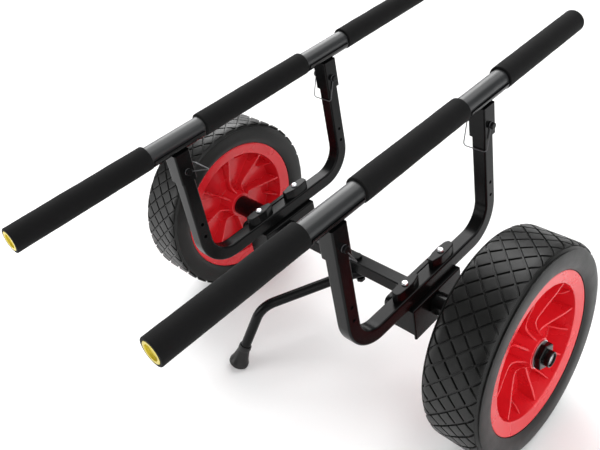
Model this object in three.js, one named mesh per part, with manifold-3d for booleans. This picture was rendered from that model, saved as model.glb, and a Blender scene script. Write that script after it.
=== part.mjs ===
// Two-wheeled kayak cart, in millimetres, +Z up.
// X runs from wheel to wheel, Y along the padded bars, and the ground is Z = 0.
import * as THREE from 'three';
import { mergeVertices } from 'three/addons/utils/BufferGeometryUtils.js';
import Module from 'manifold-3d';

const wasm = await Module();
wasm.setup();

// Layout of the whole cart
const wheelSpacing = 581.2;
const tyreDiameter = 304;
const barLength = 818;
const barSpacing = 296.8;
const barHeight = 409;
const foamMiddleLength = 211.2;
const railHeight = 183;

// Clearances
const seatGap = 0.3;
const runningGap = 0.15;
const pinGap = 0.3;
const weldDistance = 0.001;
const cutOverrun = 2;

// Roundness of the pieces, in sides to a full turn
const wheelSides = 32;
const tubeSides = 24;
const smallSides = 12;
const wireSides = 6;
const cornerSteps = 2;
const bendSteps = 4;

// The brackets, and the posts under them, stand in the bare lengths between the foam sleeves
const bracketLength = 90;
const foamInnerGap = 3.4;
const foamOuterGap = 2;

const axleHeight = tyreDiameter / 2;
const wheelShift = wheelSpacing / 2;
const frameShift = barSpacing / 2;
const postShift = foamMiddleLength / 2 + foamInnerGap + bracketLength / 2;
const sides = [
  { name: 'left', way: -1 },
  { name: 'right', way: 1 },
];
const ends = [
  { name: 'near', way: -1 },
  { name: 'far', way: 1 },
];

const axisX = new THREE.Vector3(1, 0, 0);
const axisY = new THREE.Vector3(0, 1, 0);
const axisZ = new THREE.Vector3(0, 0, 1);

// Closed surfaces and the joins and cuts between them

function volumeOf(geometry) {
  const place = geometry.attributes.position;
  const index = geometry.index;
  const a = new THREE.Vector3();
  const b = new THREE.Vector3();
  const c = new THREE.Vector3();
  let total = 0;
  for (let i = 0; i < index.count; i += 3) {
    a.fromBufferAttribute(place, index.getX(i));
    b.fromBufferAttribute(place, index.getX(i + 1));
    c.fromBufferAttribute(place, index.getX(i + 2));
    total += a.dot(b.cross(c));
  }
  return total / 6;
}

function facingOut(geometry) {
  const bare = geometry.clone();
  bare.deleteAttribute('normal');
  bare.deleteAttribute('uv');
  const closed = mergeVertices(bare, weldDistance);
  const kept = [];
  const index = closed.index;
  for (let i = 0; i < index.count; i += 3) {
    const corners = [index.getX(i), index.getX(i + 1), index.getX(i + 2)];
    if (new Set(corners).size === 3) kept.push(...corners);
  }
  closed.setIndex(kept);
  if (volumeOf(closed) < 0) {
    for (let i = 0; i < kept.length; i += 3) {
      [kept[i], kept[i + 1]] = [kept[i + 1], kept[i]];
    }
    closed.setIndex(kept);
  }
  return closed;
}

function solidOf(geometry) {
  const closed = facingOut(geometry);
  const vertProperties = Float32Array.from(closed.attributes.position.array);
  const triVerts = Uint32Array.from(closed.index.array);
  return new wasm.Manifold(new wasm.Mesh({ numProp: 3, vertProperties, triVerts }));
}

function geometryOf(solid) {
  const mesh = solid.getMesh();
  const geometry = new THREE.BufferGeometry();
  const places = new Float32Array(mesh.vertProperties);
  geometry.setAttribute('position', new THREE.BufferAttribute(places, 3));
  geometry.setIndex(Array.from(mesh.triVerts));
  geometry.computeVertexNormals();
  return geometry;
}

function joined(...geometries) {
  return geometryOf(geometries.map(solidOf).reduce((whole, next) => whole.add(next)));
}

function cutBy(geometry, ...cutters) {
  return geometryOf(cutters.map(solidOf).reduce((whole, next) => whole.subtract(next), solidOf(geometry)));
}

// Basic shapes

function box(low, high) {
  const size = new THREE.Vector3().subVectors(high, low);
  const middle = new THREE.Vector3().addVectors(low, high).multiplyScalar(0.5);
  return new THREE.BoxGeometry(size.x, size.y, size.z).translate(middle.x, middle.y, middle.z);
}

function turnedTo(geometry, axis) {
  const turn = new THREE.Quaternion().setFromUnitVectors(axisY, axis);
  return geometry.applyQuaternion(turn);
}

// A turned piece: outline points are [distance along the axis, radius]
function turned(outline, axis, count) {
  const closing = [...outline, outline[0]];
  const points = closing.map(([along, radius]) => new THREE.Vector2(radius, along));
  return turnedTo(new THREE.LatheGeometry(points, count), axis);
}

function rod(start, end, radius, axis, count) {
  const rodOutline = [[start, 0], [start, radius], [end, radius], [end, 0]];
  const points = rodOutline.map(([along, reach]) => new THREE.Vector2(reach, along));
  return turnedTo(new THREE.LatheGeometry(points, count), axis);
}

function roundedOutline(width, height, radius) {
  const points = [];
  const centres = [[1, 1, 0], [-1, 1, 1], [-1, -1, 2], [1, -1, 3]];
  for (const [across, up, quarter] of centres) {
    for (let i = 0; i <= cornerSteps; i += 1) {
      const angle = (Math.PI / 2) * (quarter + i / cornerSteps);
      const x = across * (width / 2 - radius) + radius * Math.cos(angle);
      const y = up * (height / 2 - radius) + radius * Math.sin(angle);
      points.push(new THREE.Vector2(x, y));
    }
  }
  return points;
}

function squareOutline(side) {
  const half = side / 2;
  return [[half, half], [-half, half], [-half, -half], [half, -half]]
    .map(([x, y]) => new THREE.Vector2(x, y));
}

function circleOutline(radius, count) {
  const points = [];
  for (let i = 0; i < count; i += 1) {
    const angle = (2 * Math.PI * i) / count;
    points.push(new THREE.Vector2(radius * Math.cos(angle), radius * Math.sin(angle)));
  }
  return points;
}

// A flat outline drawn in X and Y, given a thickness along Z
function plateAlongZ(outline, low, high) {
  const shape = new THREE.Shape(outline.map(([x, y]) => new THREE.Vector2(x, y)));
  const plate = new THREE.ExtrudeGeometry(shape, { depth: high - low, bevelEnabled: false });
  return plate.translate(0, 0, low);
}

// A bent route in one plane: straight runs joined by arcs
class BentRoute extends THREE.Curve {
  constructor(corners, bendRadius, sideways) {
    super();
    this.sideways = sideways;
    this.stations = [];
    const last = corners.length - 1;
    corners.forEach((corner, i) => {
      if (i === 0 || i === last) {
        const from = i === 0 ? corners[0] : corners[last - 1];
        const to = i === 0 ? corners[1] : corners[last];
        const heading = new THREE.Vector3().subVectors(to, from).normalize();
        this.stations.push({ place: corner.clone(), heading });
        return;
      }
      const before = new THREE.Vector3().subVectors(corner, corners[i - 1]).normalize();
      const after = new THREE.Vector3().subVectors(corners[i + 1], corner).normalize();
      const angle = before.angleTo(after);
      const reach = bendRadius * Math.tan(angle / 2);
      const inward = new THREE.Vector3().subVectors(after, before).normalize();
      const centre = corner.clone().addScaledVector(inward, bendRadius / Math.cos(angle / 2));
      const start = corner.clone().addScaledVector(before, -reach).sub(centre);
      const turn = new THREE.Vector3().crossVectors(before, after).normalize();
      for (let step = 0; step <= bendSteps; step += 1) {
        const part = (angle * step) / bendSteps;
        const place = start.clone().applyAxisAngle(turn, part).add(centre);
        const heading = before.clone().applyAxisAngle(turn, part);
        this.stations.push({ place, heading });
      }
    });
  }

  getSpacedPoints() {
    return this.stations.map((station) => station.place.clone());
  }

  computeFrenetFrames() {
    const tangents = this.stations.map((station) => station.heading.clone());
    const binormals = this.stations.map(() => this.sideways.clone());
    const normals = tangents.map((heading) => new THREE.Vector3().crossVectors(this.sideways, heading));
    return { tangents, normals, binormals };
  }
}

function swept(section, holes, route) {
  const shape = new THREE.Shape(section);
  shape.holes = holes.map((hole) => new THREE.Path(hole));
  const steps = route.stations.length - 1;
  return new THREE.ExtrudeGeometry(shape, { steps, extrudePath: route, bevelEnabled: false });
}

// Materials

const finishes = {
  blackPowder: { color: 0x17181a, roughness: 0.42, metalness: 0.35 },
  greyPowder: { color: 0x3c3f42, roughness: 0.35, metalness: 0.55 },
  foam: { color: 0x101112, roughness: 0.95, metalness: 0 },
  yellowPlastic: { color: 0xf2dc2e, roughness: 0.5, metalness: 0 },
  zinc: { color: 0xc9ccd0, roughness: 0.3, metalness: 0.9 },
  redPlastic: { color: 0xc8141c, roughness: 0.4, metalness: 0 },
  rubber: { color: 0x232423, roughness: 0.9, metalness: 0 },
  blackPlastic: { color: 0x0c0c0d, roughness: 0.5, metalness: 0 },
};

const cart = new THREE.Group();

function add(name, geometry, finish, x = 0, y = 0, z = 0) {
  const closed = facingOut(geometry);
  closed.computeVertexNormals();
  const mesh = new THREE.Mesh(closed, new THREE.MeshStandardMaterial(finishes[finish]));
  mesh.name = name;
  mesh.position.set(x, y, z);
  cart.add(mesh);
  return mesh;
}

// U-frames: square steel tube, bent into two posts and a bottom rail
const frameSide = 22;
const frameWall = 1.8;
const frameCornerRadius = 3;
const frameBendRadius = 48;
const pinDrop = 46.5;
const pinRadius = 3.5;
const lowHoleRadius = 2.8;
const lowHolePitch = 22.5;
const lowHoleRise = 58.5;
const lowHoleCount = 2;

// Bar brackets: a half-round cradle under the bar, on a square socket for the post
const barRadius = 14;
const cradleThickness = 2.5;
const cradleRimAngleDegrees = 9;
const socketWall = 2.2;
const socketDrop = 18.5;

const cradleOuterRadius = barRadius + seatGap + cradleThickness;
const cradleUnderside = barHeight - cradleOuterRadius;
const socketInside = frameSide + 2 * seatGap;
const socketSide = socketInside + 2 * socketWall;
const pinHeight = barHeight - pinDrop;
const socketFloor = pinHeight - socketDrop;
const postTop = cradleUnderside - cradleThickness - seatGap;
const pinHoleRadius = pinRadius + pinGap;

function postHole(y, z, radius) {
  return rod(-frameSide / 2 - cutOverrun, frameSide / 2 + cutOverrun, radius, axisX, smallSides)
    .translate(0, y, z);
}

function frameGeometry() {
  const corners = [
    new THREE.Vector3(0, -postShift, postTop),
    new THREE.Vector3(0, -postShift, railHeight),
    new THREE.Vector3(0, postShift, railHeight),
    new THREE.Vector3(0, postShift, postTop),
  ];
  const route = new BentRoute(corners, frameBendRadius, axisX);
  const inside = frameSide - 2 * frameWall;
  const section = roundedOutline(frameSide, frameSide, frameCornerRadius);
  const tube = swept(section, [squareOutline(inside)], route);
  const holes = [];
  for (const end of ends) {
    holes.push(postHole(end.way * postShift, pinHeight, pinHoleRadius));
    for (let i = 0; i < lowHoleCount; i += 1) {
      const z = railHeight + lowHoleRise + i * lowHolePitch;
      holes.push(postHole(end.way * postShift, z, lowHoleRadius));
    }
  }
  return cutBy(tube, ...holes);
}

function bracketGeometry() {
  const rim = THREE.MathUtils.degToRad(cradleRimAngleDegrees);
  const cradleSteps = tubeSides / 2;
  const inner = [];
  const outer = [];
  for (let i = 0; i <= cradleSteps; i += 1) {
    const angle = rim + ((Math.PI - 2 * rim) * i) / cradleSteps;
    const innerRadius = barRadius + seatGap;
    inner.push([innerRadius * Math.cos(angle), -innerRadius * Math.sin(angle)]);
    outer.push([cradleOuterRadius * Math.cos(angle), -cradleOuterRadius * Math.sin(angle)]);
  }
  const outline = [...outer, ...inner.reverse()];
  const cradle = plateAlongZ(outline, -bracketLength / 2, bracketLength / 2);
  const stand = new THREE.Matrix4().makeBasis(axisX, axisZ, new THREE.Vector3(0, -1, 0));
  cradle.applyMatrix4(stand).translate(0, 0, barHeight);

  const half = socketSide / 2;
  const roof = cradleUnderside + cradleThickness / 2;
  const socket = box(new THREE.Vector3(-half, -half, socketFloor), new THREE.Vector3(half, half, roof));
  const room = socketInside / 2;
  const pocket = box(
    new THREE.Vector3(-room, -room, socketFloor - cutOverrun),
    new THREE.Vector3(room, room, cradleUnderside - cradleThickness),
  );
  const barRoom = rod(-bracketLength, bracketLength, barRadius + seatGap, axisY, tubeSides)
    .translate(0, 0, barHeight);
  const pinHole = rod(-half - cutOverrun, half + cutOverrun, pinHoleRadius, axisX, smallSides)
    .translate(0, 0, pinHeight);
  return cutBy(joined(cradle, socket), pocket, barRoom, pinHole);
}

for (const side of sides) {
  const x = side.way * frameShift;
  add(`${side.name}_frame`, frameGeometry(), 'blackPowder', x);
  for (const end of ends) {
    add(`${side.name}_${end.name}_bracket`, bracketGeometry(), 'blackPowder', x, end.way * postShift);
  }
}

// Lock pins: a headed pin through the socket and the post, kept by a wire bail
const pinTipReach = 27;
const pinHeadStart = 16;
const pinHeadEnd = 20;
const pinHeadRadius = 5;
const pinTipChamfer = 1.5;
const bailWireRadius = 0.9;
const bailReach = 40;
const bailCornerRadius = 5;
const bailTipInset = 3.4;
const bailLeanDegrees = {
  left: { near: 64, far: -19 },
  right: { near: 27, far: -19 },
};

const bailEyeRadius = pinRadius + seatGap + bailWireRadius;
const bailTipPlace = -pinTipReach + bailTipInset;
const bailHeadPlace = pinHeadStart - seatGap - bailWireRadius;

function pinGeometry() {
  const outline = [
    [-pinTipReach, 0],
    [-pinTipReach, pinRadius - pinTipChamfer],
    [-pinTipReach + pinTipChamfer, pinRadius],
    [pinHeadStart, pinRadius],
    [pinHeadStart, pinHeadRadius],
    [pinHeadEnd, pinHeadRadius],
    [pinHeadEnd, 0],
  ];
  const points = outline.map(([along, radius]) => new THREE.Vector2(radius, along));
  return turnedTo(new THREE.LatheGeometry(points, smallSides), axisX);
}

// The bail hangs towards -Z here, with the pin's axis on the X axis
function bailGeometry() {
  const ring = (x) => turned(
    circleOutline(bailWireRadius, wireSides).map((point) => [x + point.x, bailEyeRadius + point.y]),
    axisX,
    smallSides,
  );
  const corners = [
    new THREE.Vector3(bailTipPlace, 0, -bailEyeRadius),
    new THREE.Vector3(bailTipPlace, 0, -bailReach),
    new THREE.Vector3(bailHeadPlace, 0, -bailReach),
    new THREE.Vector3(bailHeadPlace, 0, -bailEyeRadius),
  ];
  const route = new BentRoute(corners, bailCornerRadius, axisY);
  const wire = swept(circleOutline(bailWireRadius, wireSides), [], route);
  return joined(ring(bailTipPlace), ring(bailHeadPlace), wire);
}

for (const side of sides) {
  for (const end of ends) {
    const x = side.way * frameShift;
    const y = end.way * postShift;
    add(`${side.name}_${end.name}_pin`, pinGeometry(), 'blackPowder', x, y, pinHeight);
    const lean = THREE.MathUtils.degToRad(bailLeanDegrees[side.name][end.name]);
    const bail = bailGeometry().rotateX(lean);
    add(`${side.name}_${end.name}_bail`, bail, 'zinc', x, y, pinHeight);
  }
}

// Bars: round tubes with three foam sleeves and a plug in each end
const barWall = 1.6;
const foamRadius = 18;
const foamEdge = 1.6;
const plugLip = 4;
const plugDepth = 16;
const plugRecessRadius = 10;
const plugRecessDepth = 3;
const plugLipGap = 0.4;

const foamEndLength = barLength / 2 - postShift - bracketLength / 2 - foamOuterGap;
const tubeHalf = barLength / 2 - plugLip - seatGap;

function barTubeGeometry() {
  return turned([
    [-tubeHalf, barRadius - barWall],
    [-tubeHalf, barRadius],
    [tubeHalf, barRadius],
    [tubeHalf, barRadius - barWall],
  ], axisY, tubeSides);
}

function foamGeometry(length) {
  const half = length / 2;
  const bore = barRadius + seatGap;
  return turned([
    [-half, bore],
    [-half, foamRadius - foamEdge],
    [-half + foamEdge, foamRadius],
    [half - foamEdge, foamRadius],
    [half, foamRadius - foamEdge],
    [half, bore],
  ], axisY, tubeSides);
}

// A plug with its face at zero and its stem towards -Y
function plugGeometry() {
  const stem = barRadius - barWall - seatGap;
  const outline = [
    [-plugDepth, 0],
    [-plugDepth, stem],
    [-plugLip, stem],
    [-plugLip, barRadius + seatGap - plugLipGap],
    [0, barRadius + seatGap - plugLipGap],
    [0, plugRecessRadius],
    [-plugRecessDepth, plugRecessRadius],
    [-plugRecessDepth, 0],
  ];
  const points = outline.map(([along, radius]) => new THREE.Vector2(radius, along));
  return turnedTo(new THREE.LatheGeometry(points, tubeSides), axisY);
}

for (const side of sides) {
  const x = side.way * frameShift;
  add(`${side.name}_bar`, barTubeGeometry(), 'greyPowder', x, 0, barHeight);
  add(`${side.name}_middle_foam`, foamGeometry(foamMiddleLength), 'foam', x, 0, barHeight);
  for (const end of ends) {
    const y = end.way * (barLength - foamEndLength) / 2;
    add(`${side.name}_${end.name}_foam`, foamGeometry(foamEndLength), 'foam', x, y, barHeight);
    const plug = plugGeometry();
    if (end.way < 0) plug.rotateZ(Math.PI);
    add(`${side.name}_${end.name}_plug`, plug, 'yellowPlastic', x, (end.way * barLength) / 2, barHeight);
  }
}

// Crossbar: one square tube through both saddles, with the axles in its ends
const crossbarSide = 22;
const crossbarWall = 2;
const crossbarCornerRadius = 2.5;
const crossbarProud = 2;

// Saddles: open-bottomed boxes on the crossbar that carry the U-frames
const saddleInward = 17.5;
const saddleOutward = 32;
const saddleLength = 112;
const saddleForward = 6;
const saddleWall = 3;
const saddleSkirt = 34;
const saddleEndSkirt = 26;

// Clamps: a flange beside the rail and two tall ears over it, bolted down through the rail
const clampPlate = 6;
const clampLength = 136;
const earSpacing = 82;
const earHeight = 15.5;
const earInnerReach = 25;
const earOuterReach = 24.5;
const earHalfWidth = 8.2;
const earInnerHalfWidth = 4;
const earOuterHalfWidth = 7;
const earOuterTaper = 5;
const earShoulderReach = 9;
const earBoltRadius = 3;
const earBoltHeadRadius = 5;
const earBoltHeadHeight = 3.2;
const earBoltTail = 4;

const saddleRoof = railHeight - frameSide / 2 - seatGap;
const railTop = railHeight + frameSide / 2;
const saddleFloor = axleHeight - saddleSkirt;
const saddleEndFloor = axleHeight - saddleEndSkirt;
const saddleLowX = -saddleOutward;
const saddleHighX = saddleInward;
const saddleLowY = saddleForward - saddleLength / 2;
const saddleHighY = saddleForward + saddleLength / 2;
const clampFace = -frameSide / 2 - seatGap;
const earTop = railTop + seatGap + earHeight;
const crossbarStart = -frameShift + saddleLowX - crossbarProud;
const crossbarEnd = frameShift + saddleHighX + crossbarProud;

function crossbarGeometry() {
  const corners = [
    new THREE.Vector3(crossbarStart, 0, axleHeight),
    new THREE.Vector3(crossbarEnd, 0, axleHeight),
  ];
  const inside = crossbarSide - 2 * crossbarWall;
  const section = roundedOutline(crossbarSide, crossbarSide, crossbarCornerRadius);
  return swept(section, [squareOutline(inside)], new BentRoute(corners, crossbarSide, axisY));
}

// The ways for the clamp bolts run down through ear, rail and saddle roof
function earBoltWays() {
  return ends.map((end) => rod(
    saddleRoof - saddleWall - cutOverrun,
    earTop + cutOverrun,
    earBoltRadius + seatGap,
    axisZ,
    smallSides,
  ).translate(0, (end.way * earSpacing) / 2, 0));
}

function saddleGeometry() {
  const whole = box(
    new THREE.Vector3(saddleLowX, saddleLowY, saddleFloor),
    new THREE.Vector3(saddleHighX, saddleHighY, saddleRoof),
  );
  const room = box(
    new THREE.Vector3(saddleLowX + saddleWall, saddleLowY + saddleWall, saddleFloor - cutOverrun),
    new THREE.Vector3(saddleHighX - saddleWall, saddleHighY - saddleWall, saddleRoof - saddleWall),
  );
  const arch = box(
    new THREE.Vector3(saddleLowX + saddleWall, saddleLowY - cutOverrun, saddleFloor - cutOverrun),
    new THREE.Vector3(saddleHighX - saddleWall, saddleHighY + cutOverrun, saddleEndFloor),
  );
  const half = crossbarSide / 2 + seatGap;
  const barWay = box(
    new THREE.Vector3(saddleLowX - cutOverrun, -half, axleHeight - half),
    new THREE.Vector3(saddleHighX + cutOverrun, half, axleHeight + half),
  );
  return cutBy(whole, room, arch, barWay, ...earBoltWays());
}

// Seen from above, an ear is widest at its bolt and narrows towards the crossbar
function earOutline() {
  const half = [
    [earInnerHalfWidth, -earInnerReach],
    [earHalfWidth, -earShoulderReach],
    [earHalfWidth, earShoulderReach],
    [earOuterHalfWidth, earOuterReach - earOuterTaper],
    [earInnerHalfWidth, earOuterReach],
  ];
  return [...half, ...half.map(([x, y]) => [-x, y]).reverse()];
}

function clampGeometry() {
  const plateFloor = saddleRoof + seatGap;
  const earFloor = railTop + seatGap;
  const plate = box(
    new THREE.Vector3(clampFace - clampPlate, -clampLength / 2, plateFloor),
    new THREE.Vector3(clampFace, clampLength / 2, railTop),
  );
  const pieces = [plate];
  for (const end of ends) {
    const y = (end.way * earSpacing) / 2;
    const outline = earOutline().map(([x, along]) => [x, end.way * along]);
    pieces.push(plateAlongZ(outline, earFloor, earTop).translate(0, y, 0));
    // A root slopes from the flange's outer side up to the ear's
    const root = new THREE.Shape([
      new THREE.Vector2(clampFace - clampPlate, plateFloor),
      new THREE.Vector2(clampFace, plateFloor),
      new THREE.Vector2(clampFace, earFloor),
      new THREE.Vector2(0, earFloor),
      new THREE.Vector2(-earInnerHalfWidth, earTop - clampPlate),
      new THREE.Vector2(clampFace - clampPlate, railTop),
    ]);
    const depth = 2 * earShoulderReach + clampPlate;
    const gusset = new THREE.ExtrudeGeometry(root, { depth, bevelEnabled: false });
    const standing = new THREE.Matrix4().makeBasis(axisX, axisZ, new THREE.Vector3(0, -1, 0));
    pieces.push(gusset.applyMatrix4(standing).translate(0, y + depth / 2, 0));
  }
  return cutBy(joined(...pieces), ...earBoltWays());
}

function earBoltGeometry(y) {
  const seat = earTop + seatGap;
  const foot = saddleRoof - saddleWall - earBoltTail;
  const outline = [
    [foot, 0],
    [foot, earBoltRadius],
    [seat, earBoltRadius],
    [seat, earBoltHeadRadius],
    [seat + earBoltHeadHeight / 2, earBoltHeadRadius],
    [seat + earBoltHeadHeight, earBoltHeadRadius / 2],
    [seat + earBoltHeadHeight, 0],
  ];
  const points = outline.map(([along, radius]) => new THREE.Vector2(radius, along));
  return turnedTo(new THREE.LatheGeometry(points, smallSides), axisZ).translate(0, y, 0);
}

add('crossbar', crossbarGeometry(), 'blackPowder');
for (const side of sides) {
  const x = side.way * frameShift;
  add(`${side.name}_saddle`, saddleGeometry(), 'blackPowder', x);
  add(`${side.name}_clamp`, clampGeometry(), 'blackPowder', x);
  const frame = cart.getObjectByName(`${side.name}_frame`);
  frame.geometry = cutBy(frame.geometry, ...earBoltWays());
  for (const end of ends) {
    const bolt = earBoltGeometry((end.way * earSpacing) / 2);
    add(`${side.name}_${end.name}_clamp_bolt`, bolt, 'zinc', x);
  }
}

// Wheels: a moulded rim with dished ribs and a solid tyre
const tyreHalfWidth = 43;
const tyreShoulder = 14;
const rimRadius = 115.5;
const rimSeatRadius = 108;
const rimHalfWidth = 37.6;
const rimLip = 6;
const rimMouthRadius = 96;
const rimMouthInset = 3.1;
const rimRootRadius = 92;
const rimRootHalf = 5;
const hubRadius = 21.5;
const hubHalf = 36;
const hubDraft = 2;
const ribCount = 8;
const ribThickness = 3.2;
const ribElbowRadius = 35;
const ribElbowHalf = 17;
const ribMiddleRadius = 60;
const ribMiddleHalf = 22;
const sidewallInset = 4;
const shoulderSteps = 3;

// Axles, spacers, washers and hub nuts
const axleInsertion = 60;
const spacerRadius = 17;
const washerRadius = 19.5;
const washerThickness = 1.6;
const hubNutAcrossFlats = 33;
const hubNutThickness = 8;
const hubCollarRadius = 11;
const hubCollarLength = 8;
const hubCollarChamfer = 1.2;
const axleRecess = 2.5;

const axleRadius = crossbarSide / 2 - crossbarWall - seatGap;
const rimBoreRadius = axleRadius + runningGap;
const washerStart = hubHalf + seatGap;
const nutStart = washerStart + washerThickness + seatGap;
const nutEnd = nutStart + hubNutThickness + hubCollarLength;

// A straight rib whose two free edges dip between the hub and the rim's mouth
function ribGeometry(turn) {
  const edge = [
    [hubRadius - hubDraft, hubHalf - hubDraft],
    [ribElbowRadius, ribElbowHalf],
    [ribMiddleRadius, ribMiddleHalf],
    [rimMouthRadius, rimHalfWidth - 2 * rimMouthInset],
  ];
  const deepest = [rimRootRadius + rimLip, 0];
  const outline = [...edge, deepest, ...edge.map(([reach, half]) => [reach, -half]).reverse()];
  const points = outline.map(([reach, half]) => new THREE.Vector2(reach, half));
  const rib = new THREE.ExtrudeGeometry(new THREE.Shape(points), { depth: ribThickness, bevelEnabled: false });
  rib.translate(0, 0, -ribThickness / 2);
  const standing = new THREE.Matrix4().makeBasis(axisY, axisX, new THREE.Vector3(0, 0, -1));
  return rib.applyMatrix4(standing).rotateX(turn);
}

function rimGeometry() {
  const half = [
    [hubHalf, rimBoreRadius],
    [hubHalf, hubRadius],
    [rimRootHalf, hubRadius + hubDraft],
    [rimRootHalf, rimRootRadius],
    [rimHalfWidth - rimMouthInset, rimMouthRadius],
    [rimHalfWidth, rimRadius - rimLip / 2],
    [rimHalfWidth, rimRadius],
    [rimHalfWidth - rimLip, rimRadius],
    [rimHalfWidth - rimLip, rimSeatRadius],
  ];
  const other = half.map(([along, radius]) => [-along, radius]).reverse();
  const body = turned([...half, ...other], axisX, wheelSides);
  const ribs = [];
  for (let i = 0; i < ribCount; i += 1) {
    ribs.push(ribGeometry((2 * Math.PI * i) / ribCount));
  }
  const bore = rod(-hubHalf - cutOverrun, hubHalf + cutOverrun, rimBoreRadius, axisX, wheelSides);
  return cutBy(joined(body, ...ribs), bore);
}

function tyreGeometry() {
  const outer = tyreDiameter / 2;
  const bead = rimRadius + seatGap;
  const seat = rimSeatRadius + seatGap;
  const inset = rimHalfWidth - rimLip - seatGap;
  const half = [
    [inset, seat],
    [inset, bead],
    [tyreHalfWidth - sidewallInset, bead],
    [tyreHalfWidth, bead + 2 * sidewallInset],
  ];
  for (let i = 0; i <= shoulderSteps; i += 1) {
    const angle = (Math.PI / 2) * (i / shoulderSteps);
    const along = tyreHalfWidth - tyreShoulder + tyreShoulder * Math.cos(angle);
    half.push([along, outer - tyreShoulder + tyreShoulder * Math.sin(angle)]);
  }
  const other = half.map(([along, radius]) => [-along, radius]).reverse();
  return turned([...half, ...other], axisX, wheelSides);
}

function hubNutGeometry() {
  const corner = hubNutAcrossFlats / Math.sqrt(3);
  const hexagon = new THREE.Shape(circleOutline(corner, 6));
  const prism = new THREE.ExtrudeGeometry(hexagon, { depth: hubNutThickness, bevelEnabled: false });
  prism.rotateY(Math.PI / 2).translate(nutStart, 0, 0);
  const rise = nutStart + hubNutThickness;
  const collar = turned([
    [rise - hubNutThickness / 2, axleRadius + seatGap],
    [rise - hubNutThickness / 2, hubCollarRadius],
    [nutEnd - hubCollarChamfer, hubCollarRadius],
    [nutEnd, hubCollarRadius - hubCollarChamfer],
    [nutEnd, axleRadius + seatGap],
  ], axisX, tubeSides);
  const bore = rod(nutStart - cutOverrun, nutEnd + cutOverrun, axleRadius + seatGap, axisX, tubeSides);
  return cutBy(joined(prism, collar), bore);
}

for (const side of sides) {
  const wheelX = side.way * wheelShift;
  const outward = side.way > 0 ? 0 : Math.PI;
  const inner = side.way > 0 ? crossbarEnd : -crossbarStart;
  const axleStart = inner - axleInsertion;
  const axleEnd = wheelShift + nutEnd - axleRecess;
  const spacerStart = inner + seatGap;
  const spacerEnd = wheelShift - hubHalf - seatGap;
  const place = [0, 0, axleHeight];

  const axle = rod(axleStart, axleEnd, axleRadius, axisX, tubeSides).rotateZ(outward);
  add(`${side.name}_axle`, axle, 'zinc', ...place);

  const spacer = turned([
    [spacerStart, axleRadius + seatGap],
    [spacerStart, spacerRadius],
    [spacerEnd, spacerRadius],
    [spacerEnd, axleRadius + seatGap],
  ], axisX, tubeSides).rotateZ(outward);
  add(`${side.name}_spacer`, spacer, 'blackPlastic', ...place);

  add(`${side.name}_rim`, rimGeometry(), 'redPlastic', wheelX, 0, axleHeight);
  add(`${side.name}_tyre`, tyreGeometry(), 'rubber', wheelX, 0, axleHeight);

  const washer = turned([
    [washerStart, axleRadius + seatGap],
    [washerStart, washerRadius],
    [washerStart + washerThickness, washerRadius],
    [washerStart + washerThickness, axleRadius + seatGap],
  ], axisX, tubeSides).rotateZ(outward);
  add(`${side.name}_washer`, washer, 'zinc', wheelX, 0, axleHeight);
  add(`${side.name}_hub_nut`, hubNutGeometry().rotateZ(outward), 'blackPlastic', wheelX, 0, axleHeight);
}

// Kickstand: a bent tube on an upright bolt through the crossbar
const standPivotX = 20;
const standRadius = 8;
const standWall = 1.5;
const standTail = 13;
const standLevelReach = 30;
const standKneeReach = 161.7;
const standKneeHeight = 112.4;
const standFootReach = 212;
const standFootHeight = 21;
const standBendRadius = 45;
const standTurnDegrees = 234.8;
const pivotBoltRadius = 4;
const pivotHeadRadius = 7.5;
const pivotHeadHeight = 4.5;
const pivotNutHeight = 6;
const pivotTail = 3;
const footCollarRadius = 9.5;
const footBaseRadius = 16;
const footTopReach = 23;
const footBaseReach = 16;
const footLipHeight = 5;
const footWall = 4;

const crossbarFloor = axleHeight - crossbarSide / 2;
const crossbarRoof = axleHeight + crossbarSide / 2;
const standTop = crossbarFloor - 2 * seatGap - standRadius;
const standHeading = new THREE.Vector2(standFootReach - standKneeReach, standFootHeight - standKneeHeight);
standHeading.normalize();

// The stand is drawn pointing along +X from its pivot, then swung round to its place
function standRoute() {
  const corners = [
    new THREE.Vector3(-standTail, 0, standTop),
    new THREE.Vector3(standLevelReach, 0, standTop),
    new THREE.Vector3(standKneeReach, 0, standKneeHeight),
    new THREE.Vector3(standFootReach, 0, standFootHeight),
  ];
  return new BentRoute(corners, standBendRadius, axisY);
}

function standGeometry() {
  const section = circleOutline(standRadius, smallSides);
  const hole = circleOutline(standRadius - standWall, smallSides);
  const tube = swept(section, [hole], standRoute());
  const reach = standRadius + cutOverrun;
  const boltWay = rod(standTop - reach, standTop + reach, pivotBoltRadius + pinGap, axisZ, smallSides);
  return cutBy(tube, boltWay);
}

function footGeometry() {
  const stem = standRadius + seatGap;
  const outline = [
    [-footTopReach, stem],
    [-footTopReach, footCollarRadius],
    [-footTopReach / 2, footCollarRadius + seatGap],
    [footBaseReach - 2 * footLipHeight, footBaseRadius - footLipHeight / 2],
    [footBaseReach - footLipHeight, footBaseRadius],
    [footBaseReach, footBaseRadius],
    [footBaseReach + footWall, footBaseRadius - footWall],
    [footBaseReach + footWall, 0],
    [footWall / 2, 0],
    [footWall / 2, stem],
  ];
  const points = outline.map(([along, radius]) => new THREE.Vector2(radius, along));
  points.push(points[0]);
  const cone = new THREE.LatheGeometry(points, tubeSides);
  const down = new THREE.Vector3(standHeading.x, 0, standHeading.y);
  turnedTo(cone, down).translate(standFootReach, 0, standFootHeight);
  const below = box(
    new THREE.Vector3(-standFootReach, -standFootReach, -standFootReach),
    new THREE.Vector3(2 * standFootReach, standFootReach, 0),
  );
  return cutBy(cone, below);
}

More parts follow.
